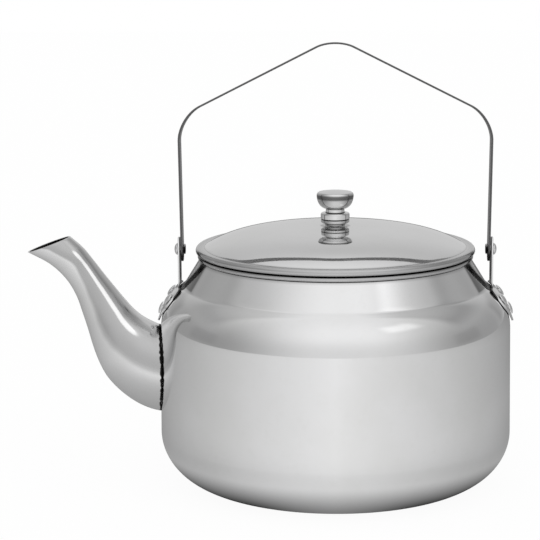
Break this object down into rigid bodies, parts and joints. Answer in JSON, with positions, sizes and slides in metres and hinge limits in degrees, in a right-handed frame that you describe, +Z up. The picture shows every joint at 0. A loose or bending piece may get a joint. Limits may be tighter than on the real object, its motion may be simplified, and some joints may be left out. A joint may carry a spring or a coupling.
{
  "type": "coffee kettle",
  "caption": "Wide round stainless steel coffee kettle with a gooseneck spout, a lift-off domed lid with a turned knob, and a strip bail that swings between riveted ears.",
  "frame": {"origin": "centre of the flat base, on the surface that the kettle stands on", "axes": "+Z up; the spout points to -X; the bail swings about a line along X and leans 4 degrees to +Y at rest"},
  "size_m": [0.2992, 0.216, 0.2723],
  "materials": {
    "body_steel": "spun stainless steel sheet, polished to a soft mirror",
    "spout_steel": "formed stainless steel sheet, polished, a little wavy",
    "lid_steel": "spun stainless steel sheet, polished to a soft mirror",
    "skirt_steel": "rolled stainless steel strip, satin",
    "knob_steel": "turned stainless steel, bright",
    "screw_steel": "plain machine-finished stainless steel",
    "bail_steel": "bent stainless steel strip, brushed along its length and polished",
    "ear_steel": "pressed stainless steel sheet, polished",
    "rivet_steel": "headed stainless steel rivets, satin"
  },
  "bodies": {
    "root": {"kettle_body": "body_steel", "spout": "spout_steel", "ear_left": "ear_steel", "ear_right": "ear_steel", "ear_rivet_left_front": "rivet_steel", "ear_rivet_left_back": "rivet_steel", "ear_rivet_left_lower": "rivet_steel", "ear_rivet_right_front": "rivet_steel", "ear_rivet_right_back": "rivet_steel", "ear_rivet_right_lower": "rivet_steel", "pivot_rivet_left": "rivet_steel", "pivot_rivet_right": "rivet_steel"},
    "lid": {"lid": "lid_steel", "lid_skirt": "skirt_steel", "lid_knob": "knob_steel", "knob_washer": "screw_steel", "knob_screw": "screw_steel"},
    "bail": {"bail_handle": "bail_steel"}
  },
  "joints": [
    {"name": "lid_lift", "type": "slide", "parent": "root", "child": "lid", "axis": [0, 0, 1], "range_m": [0, 0.06]},
    {"name": "bail_swing", "type": "hinge", "parent": "root", "child": "bail", "pos_m": [0, 0, 0.14586], "axis": [1, 0, 0], "range_deg": [-103.7, 112.3]}
  ]
}
